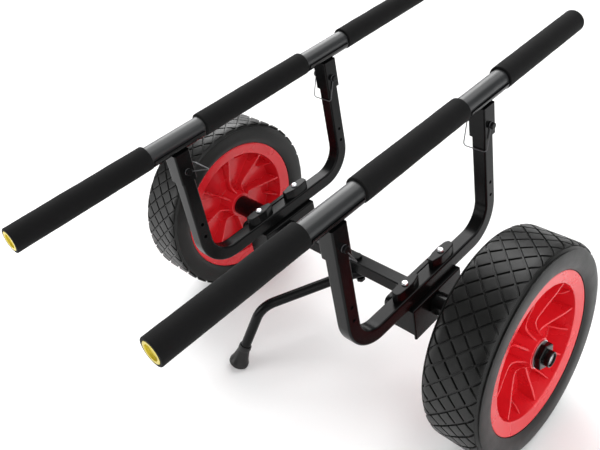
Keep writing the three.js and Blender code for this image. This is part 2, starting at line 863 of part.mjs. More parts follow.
function pivotGeometry() {
  const seat = crossbarRoof + seatGap;
  const nutTop = standTop - standRadius - seatGap;
  const nutFloor = nutTop - pivotNutHeight;
  const bolt = rod(nutFloor - pivotTail, seat + pivotHeadHeight, pivotBoltRadius, axisZ, smallSides);
  const head = new THREE.CylinderGeometry(pivotHeadRadius, pivotHeadRadius, pivotHeadHeight, 6);
  turnedTo(head, axisZ).translate(0, 0, seat + pivotHeadHeight / 2);
  const nut = new THREE.CylinderGeometry(pivotHeadRadius, pivotHeadRadius, pivotNutHeight, 6);
  turnedTo(nut, axisZ).translate(0, 0, nutTop - pivotNutHeight / 2);
  return joined(bolt, head, nut);
}

const standTurn = THREE.MathUtils.degToRad(standTurnDegrees);
add('stand_tube', standGeometry().rotateZ(standTurn), 'blackPowder', standPivotX);
add('stand_foot', footGeometry().rotateZ(standTurn), 'rubber', standPivotX);
add('stand_bolt', pivotGeometry(), 'zinc', standPivotX);

// The pivot bolt runs through the crossbar
const crossbarMesh = cart.getObjectByName('crossbar');
const boltWay = rod(
  crossbarFloor - cutOverrun,
  crossbarRoof + cutOverrun,
  pivotBoltRadius + seatGap,
  axisZ,
  smallSides,
).translate(standPivotX, 0, 0);
crossbarMesh.geometry = cutBy(crossbarMesh.geometry, boltWay);

export default cart;
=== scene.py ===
import math

import bpy
from mathutils import Matrix, Vector


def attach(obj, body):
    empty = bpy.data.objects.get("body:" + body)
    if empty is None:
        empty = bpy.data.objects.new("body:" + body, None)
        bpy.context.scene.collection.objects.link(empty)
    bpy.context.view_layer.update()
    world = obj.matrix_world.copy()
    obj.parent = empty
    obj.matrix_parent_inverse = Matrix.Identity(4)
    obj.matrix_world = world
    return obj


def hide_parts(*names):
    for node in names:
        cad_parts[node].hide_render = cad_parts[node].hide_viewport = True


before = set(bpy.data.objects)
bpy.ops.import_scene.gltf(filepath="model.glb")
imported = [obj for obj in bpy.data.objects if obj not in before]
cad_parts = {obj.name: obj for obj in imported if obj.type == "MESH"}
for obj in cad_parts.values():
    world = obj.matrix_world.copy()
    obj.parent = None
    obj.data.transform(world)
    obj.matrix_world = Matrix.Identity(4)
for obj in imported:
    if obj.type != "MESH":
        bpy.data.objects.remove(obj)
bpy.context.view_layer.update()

# Crossbar: one 22 mm square steel tube with 2 mm walls, cut to length and powder
# coated black. It runs through both saddles, and an axle is fixed in each end.
MM = 0.001
axle_height = 152 * MM
crossbar_side = 22 * MM
crossbar_wall = 2 * MM
crossbar_start = -182.4 * MM
crossbar_end = 167.9 * MM
crossbar_corner = 2.5 * MM


def alone(piece):
    """Leaves this piece as the only one selected, ready to be worked on."""
    if bpy.context.object and bpy.context.object.mode != "OBJECT":
        bpy.ops.object.mode_set(mode="OBJECT")
    bpy.ops.object.select_all(action="DESELECT")
    bpy.context.view_layer.objects.active = piece
    piece.select_set(True)


def named(name):
    """Names the primitive just added and moves its place into its mesh."""
    piece = bpy.context.object
    piece.name = name
    piece.data.name = name
    alone(piece)
    bpy.ops.object.transform_apply(location=True, rotation=True, scale=True)
    return piece


def block(name, low, high):
    """A cube stretched between two corners, to be shaped further."""
    middle = [(a + b) / 2 for a, b in zip(low, high)]
    size = [b - a for a, b in zip(low, high)]
    bpy.ops.mesh.primitive_cube_add(size=1, location=middle, scale=size)
    return named(name)


def round_bar(name, start, end, radius, sides=48, ends="NGON"):
    """A cylinder between two points."""
    start, end = Vector(start), Vector(end)
    turn = (end - start).to_track_quat("Z", "Y").to_euler()
    bpy.ops.mesh.primitive_cylinder_add(
        vertices=sides, radius=radius, depth=(end - start).length,
        location=(start + end) / 2, rotation=turn, end_fill_type=ends)
    return named(name)


def choose(piece, kind, test):
    """Goes into edit mode with only the faces, edges or points that pass the test."""
    alone(piece)
    bpy.ops.object.mode_set(mode="EDIT")
    bpy.ops.mesh.select_mode(type=kind)
    bpy.ops.mesh.select_all(action="DESELECT")
    bpy.ops.object.mode_set(mode="OBJECT")
    mesh = piece.data
    places = [point.co.copy() for point in mesh.vertices]
    if kind == "FACE":
        for face in mesh.polygons:
            face.select = test(face.center, face.normal)
    if kind == "EDGE":
        for edge in mesh.edges:
            edge.select = test(places[edge.vertices[0]], places[edge.vertices[1]])
    if kind == "VERT":
        for point in mesh.vertices:
            point.select = test(point.co)
    bpy.ops.object.mode_set(mode="EDIT")


def done():
    bpy.ops.object.mode_set(mode="OBJECT")


def modified(piece, kind, **settings):
    """Adds a modifier, sets it and applies it."""
    alone(piece)
    modifier = piece.modifiers.new(kind.lower(), kind)
    for key, value in settings.items():
        setattr(modifier, key, value)
    bpy.ops.object.modifier_apply(modifier=modifier.name)


def eased(piece, width, angle=30, steps=2):
    """Rounds the sharp edges a little and shades the rest smoothly."""
    modified(piece, "BEVEL", width=width, segments=steps, limit_method="ANGLE",
             angle_limit=math.radians(angle), use_clamp_overlap=True, harden_normals=False)
    smooth(piece)


def smooth(piece, angle=35):
    """Shades curved faces smoothly and keeps large flat faces flat beside them."""
    alone(piece)
    bpy.ops.object.shade_smooth_by_angle(angle=math.radians(angle))
    modified(piece, "WEIGHTED_NORMAL", keep_sharp=True, weight=60)


def outward(piece):
    """Merges doubled points and turns every face outwards."""
    alone(piece)
    bpy.ops.object.mode_set(mode="EDIT")
    bpy.ops.mesh.select_all(action="SELECT")
    bpy.ops.mesh.remove_doubles(threshold=0.00001)
    bpy.ops.mesh.normals_make_consistent(inside=False)
    done()


def combined(piece, other, how):
    """Cuts another piece away from this one, or welds it on, and removes the other."""
    modified(piece, "BOOLEAN", object=other, operation=how, solver="EXACT")
    bpy.data.objects.remove(other, do_unlink=True)


def copied(piece, name, shift=(0, 0, 0), turn=(0, 0, 0)):
    """A copy with a mesh of its own, turned and moved, with its place in its mesh."""
    alone(piece)
    bpy.ops.object.duplicate(linked=False)
    twin = bpy.context.object
    twin.rotation_euler = turn
    twin.location = shift
    return named(name)


def coated(name, colour, roughness, shine=0.5, speckle=420.0, depth=0.12, patch=0.1, tint=0.25, mottle=14.0):
    """Powder coat: a fine orange-peel surface, with duller patches where hands rub it."""
    material = bpy.data.materials.new(name)
    material.use_nodes = True
    nodes, links = material.node_tree.nodes, material.node_tree.links
    shader = nodes["Principled BSDF"]
    shader.inputs["Specular IOR Level"].default_value = shine
    place = nodes.new("ShaderNodeTexCoord")
    peel = nodes.new("ShaderNodeTexNoise")
    peel.inputs["Scale"].default_value = speckle
    peel.inputs["Detail"].default_value = 3
    links.new(place.outputs["Object"], peel.inputs["Vector"])
    bump = nodes.new("ShaderNodeBump")
    bump.inputs["Strength"].default_value = depth
    bump.inputs["Distance"].default_value = 0.0004
    links.new(peel.outputs["Fac"], bump.inputs["Height"])
    links.new(bump.outputs["Normal"], shader.inputs["Normal"])
    rub = nodes.new("ShaderNodeTexNoise")
    rub.inputs["Scale"].default_value = mottle
    rub.inputs["Detail"].default_value = 5
    links.new(place.outputs["Object"], rub.inputs["Vector"])
    dull = nodes.new("ShaderNodeMapRange")
    dull.inputs["To Min"].default_value = roughness - patch
    dull.inputs["To Max"].default_value = roughness + patch
    links.new(rub.outputs["Fac"], dull.inputs["Value"])
    links.new(dull.outputs["Result"], shader.inputs["Roughness"])
    shade = nodes.new("ShaderNodeValToRGB")
    shade.color_ramp.elements[0].position = 0.3
    shade.color_ramp.elements[1].position = 0.75
    shade.color_ramp.elements[0].color = [part * (1 - tint) for part in colour] + [1]
    shade.color_ramp.elements[1].color = [part * (1 + tint) for part in colour] + [1]
    links.new(rub.outputs["Fac"], shade.inputs["Fac"])
    links.new(shade.outputs["Color"], shader.inputs["Base Color"])
    return material


def dressed(piece, material):
    """Gives the piece one material in place of any that it has."""
    piece.data.materials.clear()
    piece.data.materials.append(material)


def stands_for(piece, body, node):
    """The piece takes the place of a CAD node and moves with its body."""
    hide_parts(node)
    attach(piece, body)


black_coat = coated("black_powder_coat", (0.0032, 0.0033, 0.0034), 0.25,
                    shine=0.12, depth=0.06, patch=0.05)

half = crossbar_side / 2
crossbar = block("crossbar_tube", (crossbar_start, -half, axle_height - half),
                 (crossbar_end, half, axle_height + half))
choose(crossbar, "EDGE", lambda a, b: abs(a.x - b.x) > 100 * MM)
bpy.ops.mesh.bevel(offset=crossbar_corner, segments=5, affect="EDGES")
choose(crossbar, "FACE", lambda place, way: abs(way.x) > 0.9)
bpy.ops.mesh.inset(thickness=crossbar_wall, use_individual=True)
bpy.ops.mesh.delete(type="FACE")
done()
choose(crossbar, "EDGE", lambda a, b: abs(a.x - b.x) < 10 * MM
       and max(abs(a.y), abs(a.z - axle_height)) < half - 1 * MM)
bpy.ops.mesh.bridge_edge_loops()
done()
outward(crossbar)
eased(crossbar, 0.4 * MM, angle=50)
dressed(crossbar, black_coat)
stands_for(crossbar, "cart", "crossbar")

# Saddles: pressed steel channels, open underneath, welded over the crossbar. Each one
# carries a U-frame on its roof. They are 3 mm plate with softly bent edges, coated black.
frame_shift = 148.4 * MM
saddle_low = (-32 * MM, -50 * MM, 118 * MM)
saddle_high = (17.5 * MM, 62 * MM, 171.7 * MM)
saddle_wall = 3 * MM
saddle_end_floor = 126 * MM
saddle_crease = 137 * MM
saddle_bend = 2.4 * MM
slot_clearance = 0.3 * MM
overrun = 10 * MM

saddle = block("saddle_pressing", saddle_low, saddle_high)
choose(saddle, "FACE", lambda place, way: way.y < -0.9)
bpy.ops.mesh.bisect(plane_co=(0, 0, saddle_crease), plane_no=(0, 0, 1))
done()
choose(saddle, "FACE", lambda place, way: way.z < -0.9)
bpy.ops.mesh.delete(type="FACE")
done()
choose(saddle, "EDGE", lambda a, b: min(a.z, b.z) > saddle_low[2] + 1 * MM or abs(a.z - b.z) > 1 * MM)
bpy.ops.mesh.bevel(offset=saddle_bend, segments=4, affect="EDGES")
done()
modified(saddle, "SOLIDIFY", thickness=saddle_wall, offset=-1)
notch = block("notch", (saddle_low[0] + saddle_wall, saddle_low[1] - overrun, saddle_low[2] - overrun),
              (saddle_high[0] - saddle_wall, saddle_high[1] + overrun, saddle_end_floor))
combined(saddle, notch, "DIFFERENCE")
reach = half + slot_clearance
passage = block("passage", (saddle_low[0] - overrun, -reach, axle_height - reach),
                (saddle_high[0] + overrun, reach, axle_height + reach))
combined(saddle, passage, "DIFFERENCE")
eased(saddle, 0.35 * MM, angle=50)
dressed(saddle, black_coat)
for side, way in (("left", -1), ("right", 1)):
    piece = copied(saddle, f"{side}_saddle_pressing", (way * frame_shift, 0, 0))
    stands_for(piece, "cart", f"{side}_saddle")
bpy.data.objects.remove(saddle, do_unlink=True)

# U-frames: 22 mm square steel tube with rounded corners and 1.8 mm walls, bent twice
# to a 48 mm radius. Each post has two spare holes below its lock pin, drilled across.
post_shift = 154 * MM
post_top = 389.4 * MM
rail_height = 183 * MM
frame_side = 22 * MM
frame_bend = 48 * MM
spare_hole_heights = (264 * MM, 241.5 * MM)
spare_hole_radius = 2.8 * MM
pin_height = 362.5 * MM
pin_hole = 3.8 * MM
frame_wall = 1.8 * MM
frame_corner = 3.2 * MM
drill_reach = 20 * MM

bpy.ops.mesh.primitive_plane_add(size=frame_side, location=(0, -post_shift, post_top))
u_frame = named("u_frame")
choose(u_frame, "VERT", lambda place: True)
bpy.ops.mesh.bevel(offset=frame_corner, segments=5, affect="VERTICES")
bpy.ops.mesh.select_mode(type="EDGE")
bpy.ops.mesh.select_all(action="SELECT")
bpy.ops.mesh.delete(type="ONLY_FACE")
bpy.ops.mesh.select_all(action="SELECT")
straight = post_top - rail_height - frame_bend
bpy.ops.mesh.extrude_region_move(TRANSFORM_OT_translate={"value": (0, 0, -straight)})
bpy.ops.mesh.spin(steps=14, angle=-math.pi / 2, axis=(1, 0, 0),
                  center=(0, -post_shift + frame_bend, rail_height + frame_bend))
bpy.ops.mesh.extrude_region_move(TRANSFORM_OT_translate={"value": (0, 2 * (post_shift - frame_bend), 0)})
bpy.ops.mesh.spin(steps=14, angle=-math.pi / 2, axis=(1, 0, 0),
                  center=(0, post_shift - frame_bend, rail_height + frame_bend))
bpy.ops.mesh.extrude_region_move(TRANSFORM_OT_translate={"value": (0, 0, straight)})
done()
outward(u_frame)
modified(u_frame, "SOLIDIFY", thickness=frame_wall, offset=-1)
holes = [(height, spare_hole_radius) for height in spare_hole_heights] + [(pin_height, pin_hole)]
for end in (-1, 1):
    for height, radius in holes:
        drill = round_bar("drill", (-drill_reach, end * post_shift, height),
                          (drill_reach, end * post_shift, height), radius, sides=24)
        combined(u_frame, drill, "DIFFERENCE")
smooth(u_frame)
dressed(u_frame, black_coat)
for side, way in (("left", -1), ("right", 1)):
    piece = copied(u_frame, f"{side}_u_frame", (way * frame_shift, 0, 0))
    stands_for(piece, "cart", f"{side}_frame")
bpy.data.objects.remove(u_frame, do_unlink=True)

# Clamps: cast pieces, coated black, that hold each rail down on its saddle. A flange lies
# against the rail's left side, and two tall ears with flat tops reach over the rail.
clamp_face = -11.3 * MM
clamp_plate = 6 * MM
clamp_half = 68 * MM
clamp_floor = 172 * MM
clamp_top = 194 * MM
ear_shift = 41 * MM
ear_floor = 194.3 * MM
ear_top = 209.8 * MM
ear_plan = [(4, -25), (8.2, -9), (8.2, 9), (7, 19.5), (4, 24.5)]
root_section = [(-17.3, 173), (-12, 173), (-12, 194.3), (0, 194.3), (-4, 203.8), (-17.3, 194)]
root_half = 12 * MM
bolt_hole = 3.3 * MM
flange_corner = 9 * MM
ear_corner = 1.6 * MM
ear_edge = 1.5 * MM


def drawn(name, points):
    """A line of points, each drawn out from the one before, starting from one corner."""
    bpy.ops.mesh.primitive_plane_add(size=0.001, location=points[0])
    piece = named(name)
    choose(piece, "VERT", lambda place: True)
    bpy.ops.mesh.merge(type="CENTER")
    for before, after in zip(points, points[1:]):
        step = [b - a for a, b in zip(before, after)]
        bpy.ops.mesh.extrude_region_move(TRANSFORM_OT_translate={"value": step})
    done()
    return piece


def raised(name, points, lift):
    """A closed outline, filled in and drawn out into a solid."""
    piece = drawn(name, points)
    choose(piece, "VERT", lambda place: True)
    bpy.ops.mesh.edge_face_add()
    bpy.ops.mesh.select_mode(type="FACE")
    bpy.ops.mesh.select_all(action="SELECT")
    bpy.ops.mesh.extrude_region_move(TRANSFORM_OT_translate={"value": lift})
    done()
    outward(piece)
    return piece


clamp = block("clamp_casting", (clamp_face - clamp_plate, -clamp_half, clamp_floor),
              (clamp_face, clamp_half, clamp_top))
choose(clamp, "EDGE", lambda a, b: abs(a.x - b.x) > 1 * MM and min(a.z, b.z) > clamp_floor + 1 * MM)
bpy.ops.mesh.bevel(offset=flange_corner, segments=6, affect="EDGES")
done()
for end in (-1, 1):
    plan = ear_plan + [(-half_width, along) for half_width, along in reversed(ear_plan)]
    ear = raised("ear", [(x * MM, end * (ear_shift + along * MM), ear_floor) for x, along in plan],
                 (0, 0, ear_top - ear_floor))
    choose(ear, "EDGE", lambda a, b: abs(a.z - b.z) > 1 * MM)
    bpy.ops.mesh.bevel(offset=ear_corner, segments=4, affect="EDGES")
    choose(ear, "FACE", lambda place, way: way.z > 0.9)
    bpy.ops.mesh.bevel(offset=ear_edge, segments=4, affect="EDGES")
    done()
    root = raised("root", [(x * MM, end * ear_shift - root_half, z * MM) for x, z in root_section],
                  (0, 2 * root_half, 0))
    combined(ear, root, "UNION")
    hole = round_bar("hole", (0, end * ear_shift, 150 * MM), (0, end * ear_shift, 250 * MM), bolt_hole, sides=32)
    combined(ear, hole, "DIFFERENCE")
    combined(clamp, ear, "UNION")
eased(clamp, 0.5 * MM, angle=40)
dressed(clamp, black_coat)
for side, way in (("left", -1), ("right", 1)):
    piece = copied(clamp, f"{side}_clamp_casting", (way * frame_shift, 0, 0))
    stands_for(piece, "cart", f"{side}_clamp")
bpy.data.objects.remove(clamp, do_unlink=True)

# Clamp bolts: bright zinc plated, with low domed heads. Each goes down through an ear, the
# rail and the saddle's roof, and its tail shows underneath.
bolt_floor = 164.7 * MM
bolt_head_floor = 210.1 * MM
bolt_head_top = 213.3 * MM
bolt_radius = 3 * MM
bolt_head_radius = 5 * MM
bolt_dome = 2.4 * MM


def plated(name, colour, roughness, scratch=900.0):
    """Zinc plate: bright steel with fine brushed lines and faint cloudy patches."""
    material = bpy.data.materials.new(name)
    material.use_nodes = True
    nodes, links = material.node_tree.nodes, material.node_tree.links
    shader = nodes["Principled BSDF"]
    shader.inputs["Metallic"].default_value = 1.0
    place = nodes.new("ShaderNodeTexCoord")
    lines = nodes.new("ShaderNodeTexNoise")
    lines.inputs["Scale"].default_value = scratch
    lines.inputs["Detail"].default_value = 2
    links.new(place.outputs["Object"], lines.inputs["Vector"])
    bump = nodes.new("ShaderNodeBump")
    bump.inputs["Strength"].default_value = 0.08
    bump.inputs["Distance"].default_value = 0.0002
    links.new(lines.outputs["Fac"], bump.inputs["Height"])
    links.new(bump.outputs["Normal"], shader.inputs["Normal"])
    cloud = nodes.new("ShaderNodeTexNoise")
    cloud.inputs["Scale"].default_value = 120
    cloud.inputs["Detail"].default_value = 4
    links.new(place.outputs["Object"], cloud.inputs["Vector"])
    dull = nodes.new("ShaderNodeMapRange")
    dull.inputs["To Min"].default_value = roughness - 0.08
    dull.inputs["To Max"].default_value = roughness + 0.12
    links.new(cloud.outputs["Fac"], dull.inputs["Value"])
    links.new(dull.outputs["Result"], shader.inputs["Roughness"])
    shade = nodes.new("ShaderNodeValToRGB")
    shade.color_ramp.elements[0].color = [part * 0.82 for part in colour] + [1]
    shade.color_ramp.elements[1].color = list(colour) + [1]
    links.new(cloud.outputs["Fac"], shade.inputs["Fac"])
    links.new(shade.outputs["Color"], shader.inputs["Base Color"])
    return material


zinc = plated("zinc_plate", (0.78, 0.79, 0.81), 0.3)
clamp_bolt = round_bar("clamp_bolt", (0, 0, bolt_floor), (0, 0, bolt_head_floor + 1 * MM), bolt_radius, sides=24)
head = round_bar("bolt_head", (0, 0, bolt_head_floor), (0, 0, bolt_head_top), bolt_head_radius, sides=32)
choose(head, "FACE", lambda place, way: way.z > 0.9)
bpy.ops.mesh.bevel(offset=bolt_dome, segments=5, affect="EDGES")
done()
combined(clamp_bolt, head, "UNION")
eased(clamp_bolt, 0.2 * MM, angle=50)
dressed(clamp_bolt, zinc)
for side, way in (("left", -1), ("right", 1)):
    for end, along in (("near", -1), ("far", 1)):
        place = (way * frame_shift, along * ear_shift, 0)
        piece = copied(clamp_bolt, f"{side}_{end}_bright_bolt", place)
        stands_for(piece, "cart", f"{side}_{end}_clamp_bolt")
bpy.data.objects.remove(clamp_bolt, do_unlink=True)

# Bar brackets: a half-round steel cradle, as long as a hand is wide, welded on a square
# socket that slips over the post. All one weldment, coated black.
bar_height = 409 * MM
bar_radius = 14 * MM
bracket_half = 45 * MM
socket_half = 13.5 * MM
socket_room = 11.3 * MM
socket_floor = 344 * MM
cradle_radius = 16.8 * MM
cradle_rim = bar_height - 2.6 * MM
cradle_underside = bar_height - cradle_radius
socket_corner = 2.6 * MM

bracket = block("bracket", (-socket_half, -socket_half, socket_floor),
                (socket_half, socket_half, cradle_underside + 1.2 * MM))
choose(bracket, "EDGE", lambda a, b: abs(a.z - b.z) > 1 * MM)
bpy.ops.mesh.bevel(offset=socket_corner, segments=4, affect="EDGES")
done()
cradle = round_bar("cradle", (0, -bracket_half, bar_height), (0, bracket_half, bar_height),
                   cradle_radius, sides=64)
choose(cradle, "FACE", lambda place, way: True)
bpy.ops.mesh.bisect(plane_co=(0, 0, cradle_rim), plane_no=(0, 0, 1), use_fill=True, clear_outer=True)
done()
combined(bracket, cradle, "UNION")
bar_room = round_bar("bar_room", (0, -bracket_half - overrun, bar_height),
                     (0, bracket_half + overrun, bar_height), bar_radius + slot_clearance, sides=64)
combined(bracket, bar_room, "DIFFERENCE")
post_room = block("post_room", (-socket_room, -socket_room, socket_floor - overrun),
                  (socket_room, socket_room, cradle_underside - 2.5 * MM))
combined(bracket, post_room, "DIFFERENCE")
drill = round_bar("drill", (-drill_reach, 0, pin_height), (drill_reach, 0, pin_height), pin_hole, sides=32)
combined(bracket, drill, "DIFFERENCE")
eased(bracket, 0.35 * MM, angle=40)
dressed(bracket, black_coat)
for side, way in (("left", -1), ("right", 1)):
    for end, along in (("near", -1), ("far", 1)):
        piece = copied(bracket, f"{side}_{end}_bar_bracket", (way * frame_shift, along * post_shift, 0))
        stands_for(piece, "cart", f"{side}_{end}_bracket")
bpy.data.objects.remove(bracket, do_unlink=True)

# Lock pins: 7 mm black pins with a flat head, pushed through socket and post from the
# right. A bent wire bail, zinc plated, turns on each pin and hangs where it was left.
pin_radius = 3.5 * MM
pin_tip = -27 * MM
pin_head_start = 16 * MM
pin_head_end = 20 * MM
pin_head_radius = 5 * MM
dull_zinc = plated("dull_zinc_plate", (0.11, 0.11, 0.115), 0.4)
wire_radius = 0.8 * MM
bail_reach = 40 * MM
bail_tip_x = -23.6 * MM
bail_head_x = 14.8 * MM
bail_eye = pin_radius + 0.9 * MM
bail_corner = 5 * MM
bail_leans = {"left_near": 64, "right_near": 27, "left_far": -19, "right_far": -19}

pin = round_bar("lock_pin", (pin_tip, 0, 0), (pin_head_start + 0.2 * MM, 0, 0), pin_radius, sides=32)
choose(pin, "FACE", lambda place, way: way.x < -0.9)
bpy.ops.mesh.bevel(offset=1.5 * MM, segments=3, affect="EDGES")
done()
pin_head = round_bar("pin_head", (pin_head_start, 0, 0), (pin_head_end, 0, 0), pin_head_radius, sides=32)
choose(pin_head, "FACE", lambda place, way: way.x > 0.9)
bpy.ops.mesh.bevel(offset=1 * MM, segments=3, affect="EDGES")
done()
combined(pin, pin_head, "UNION")
smooth(pin)
dressed(pin, black_coat)

bpy.ops.mesh.primitive_circle_add(vertices=12, radius=wire_radius, location=(bail_tip_x, 0, -bail_eye))
bail = named("wire_bail")
leg = bail_reach - bail_eye - bail_corner
across = bail_head_x - bail_tip_x - 2 * bail_corner
choose(bail, "EDGE", lambda a, b: True)
bpy.ops.mesh.extrude_region_move(TRANSFORM_OT_translate={"value": (0, 0, -leg)})
bpy.ops.mesh.spin(steps=8, angle=math.pi / 2, axis=(0, 1, 0),
                  center=(bail_tip_x + bail_corner, 0, -bail_reach + bail_corner))
bpy.ops.mesh.extrude_region_move(TRANSFORM_OT_translate={"value": (across, 0, 0)})
bpy.ops.mesh.spin(steps=8, angle=math.pi / 2, axis=(0, 1, 0),
                  center=(bail_head_x - bail_corner, 0, -bail_reach + bail_corner))
bpy.ops.mesh.extrude_region_move(TRANSFORM_OT_translate={"value": (0, 0, leg)})
done()
for way in (-1, 1):
    choose(bail, "EDGE", lambda a, b: min(a.z, b.z) > -bail_eye - 0.1 * MM and a.x * way > 0)
    bpy.ops.mesh.edge_face_add()
    done()
outward(bail)
for x in (bail_tip_x, bail_head_x):
    bpy.ops.mesh.primitive_torus_add(major_radius=bail_eye, minor_radius=wire_radius, major_segments=32,
                                     minor_segments=12, location=(x, 0, 0), rotation=(0, math.pi / 2, 0))
    eye = named("bail_eye")
    combined(bail, eye, "UNION")
smooth(bail, 50)
dressed(bail, dull_zinc)
for side, way in (("left", -1), ("right", 1)):
    for end, along in (("near", -1), ("far", 1)):
        place = (way * frame_shift, along * post_shift, pin_height)
        lean = math.radians(bail_leans[f"{side}_{end}"])
        piece = copied(pin, f"{side}_{end}_lock_pin", place)
        stands_for(piece, "cart", f"{side}_{end}_pin")
        piece = copied(bail, f"{side}_{end}_wire_bail", place, (lean, 0, 0))
        stands_for(piece, f"{side}_{end}_bail", f"{side}_{end}_bail")
bpy.data.objects.remove(pin, do_unlink=True)
bpy.data.objects.remove(bail, do_unlink=True)

# Bars: 28 mm round steel tubes, 1.6 mm walls, coated dark grey with a silkier sheen than
# the frames. Only two short lengths between the foam sleeves show.
bar_half = 404.7 * MM
bar_wall = 1.6 * MM
grey_coat = coated("grey_powder_coat", (0.014, 0.015, 0.016), 0.36,
                   shine=0.55, speckle=600, depth=0.05, patch=0.05)
bar = round_bar("bar_tube", (0, -bar_half, bar_height), (0, bar_half, bar_height),
                bar_radius, sides=72, ends="NOTHING")
modified(bar, "SOLIDIFY", thickness=bar_wall, offset=-1)
smooth(bar)
dressed(bar, grey_coat)
for side, way in (("left", -1), ("right", 1)):
    piece = copied(bar, f"{side}_bar_tube", (way * frame_shift, 0, 0))
    stands_for(piece, "cart", f"{side}_bar")
bpy.data.objects.remove(bar, do_unlink=True)

# Foam sleeves: three to a bar, closed-cell foam tube cut square and pulled over the bar.
# The skin is matt and slightly pitted, the cut edges have softened, and it lies uneven.
foam_radius = 18 * MM
foam_bore = 14.3 * MM
foam_middle = 211.2 * MM
foam_end = 208 * MM
bar_end = 409 * MM
foam_edge = 1.8 * MM
foam_swell = 0.7 * MM


def foam_skin(name, colour):
    """Closed-cell foam: fine pits, a dusty sheen and faint scuffs along the skin."""
    material = bpy.data.materials.new(name)
    material.use_nodes = True
    nodes, links = material.node_tree.nodes, material.node_tree.links
    shader = nodes["Principled BSDF"]
    shader.inputs["Specular IOR Level"].default_value = 0.14
    shader.inputs["Sheen Weight"].default_value = 0.02
    shader.inputs["Sheen Roughness"].default_value = 0.6
    place = nodes.new("ShaderNodeTexCoord")
    pits = nodes.new("ShaderNodeTexVoronoi")
    pits.inputs["Scale"].default_value = 900
    links.new(place.outputs["Object"], pits.inputs["Vector"])
    swell = nodes.new("ShaderNodeTexNoise")
    swell.inputs["Scale"].default_value = 160
    swell.inputs["Detail"].default_value = 6
    links.new(place.outputs["Object"], swell.inputs["Vector"])
    fine = nodes.new("ShaderNodeBump")
    fine.inputs["Strength"].default_value = 0.35
    fine.inputs["Distance"].default_value = 0.0003
    links.new(pits.outputs["Distance"], fine.inputs["Height"])
    coarse = nodes.new("ShaderNodeBump")
    coarse.inputs["Strength"].default_value = 0.3
    coarse.inputs["Distance"].default_value = 0.0006
    links.new(swell.outputs["Fac"], coarse.inputs["Height"])
    links.new(fine.outputs["Normal"], coarse.inputs["Normal"])
    links.new(coarse.outputs["Normal"], shader.inputs["Normal"])
    scuff = nodes.new("ShaderNodeTexNoise")
    scuff.inputs["Scale"].default_value = 22
    scuff.inputs["Detail"].default_value = 7
    links.new(place.outputs["Object"], scuff.inputs["Vector"])
    shade = nodes.new("ShaderNodeValToRGB")
    shade.color_ramp.elements[0].position = 0.35
    shade.color_ramp.elements[1].position = 0.8
    shade.color_ramp.elements[0].color = [part * 0.8 for part in colour] + [1]
    shade.color_ramp.elements[1].color = [part * 1.5 for part in colour] + [1]
    links.new(scuff.outputs["Fac"], shade.inputs["Fac"])
    links.new(shade.outputs["Color"], shader.inputs["Base Color"])
    dull = nodes.new("ShaderNodeMapRange")
    dull.inputs["To Min"].default_value = 0.72
    dull.inputs["To Max"].default_value = 0.92
    links.new(scuff.outputs["Fac"], dull.inputs["Value"])
    links.new(dull.outputs["Result"], shader.inputs["Roughness"])
    return material


foam = foam_skin("foam", (0.0024, 0.00245, 0.0026))


def on_edge(place, low, high):
    """True on the outer circle of either cut end."""
    past = abs(Vector((place.x, place.z - bar_height)).length - foam_radius)
    return past < 0.1 * MM and min(abs(place.y - low), abs(place.y - high)) < 0.1 * MM


def sleeve(name, low, high):
    """A foam tube over the bar between two places along it."""
    piece = round_bar(name, (0, low, bar_height), (0, high, bar_height),
                      foam_radius, sides=64, ends="NOTHING")
    choose(piece, "EDGE", lambda a, b: abs(a.y - b.y) > 50 * MM)
    bpy.ops.mesh.subdivide(number_cuts=34)
    done()
    modified(piece, "SOLIDIFY", thickness=foam_radius - foam_bore, offset=-1)
    choose(piece, "EDGE", lambda a, b: on_edge(a, low, high) and on_edge(b, low, high)
           and abs(a.y - b.y) < 0.1 * MM)
    bpy.ops.mesh.bevel(offset=foam_edge, segments=5, affect="EDGES")
    done()
    return piece


def settled(piece, shift):
    """The sleeve's skin rises and falls by a few tenths of a millimetre, inwards only."""
    waves = bpy.data.textures.new("foam_waves", "CLOUDS")
    waves.noise_scale = 0.03
    group = piece.vertex_groups.new(name="skin")
    for point in piece.data.vertices:
        reach = Vector((point.co.x - shift, point.co.z - bar_height)).length
        if reach > foam_radius - 2.5 * MM:
            group.add([point.index], 1, "REPLACE")
    modified(piece, "DISPLACE", texture=waves, texture_coords="LOCAL", strength=foam_swell, mid_level=0.85,
             vertex_group="skin")
    piece.vertex_groups.clear()
    smooth(piece, 50)
    dressed(piece, foam)


for side, way in (("left", -1), ("right", 1)):
    stretches = (("near", -bar_end, -bar_end + foam_end), ("middle", -foam_middle / 2, foam_middle / 2),
                 ("far", bar_end - foam_end, bar_end))
    for place, low, high in stretches:
        tube = sleeve("sleeve", low, high)
        piece = copied(tube, f"{side}_{place}_sleeve", (way * frame_shift, 0, 0))
        bpy.data.objects.remove(tube, do_unlink=True)
        settled(piece, way * frame_shift)
        stands_for(piece, "cart", f"{side}_{place}_foam")

# End plugs: moulded yellow plastic caps pushed into the bars' ends, with a flat rim that
# hides the tube's edge and a shallow round recess.
plug_radius = 13.9 * MM
plug_recess_radius = 10 * MM
plug_recess = 3 * MM
plug_head = 4 * MM
plug_tail = 12 * MM
plug_step = 1.8 * MM


def moulded(name, colour, roughness, shine=0.5, grain=500.0, depth=0.05, tint=0.06):
    """Moulded plastic: a faint mould grain and a slightly uneven gloss."""
    return coated(name, colour, roughness, shine=shine, speckle=grain, depth=depth, patch=0.06, tint=tint)


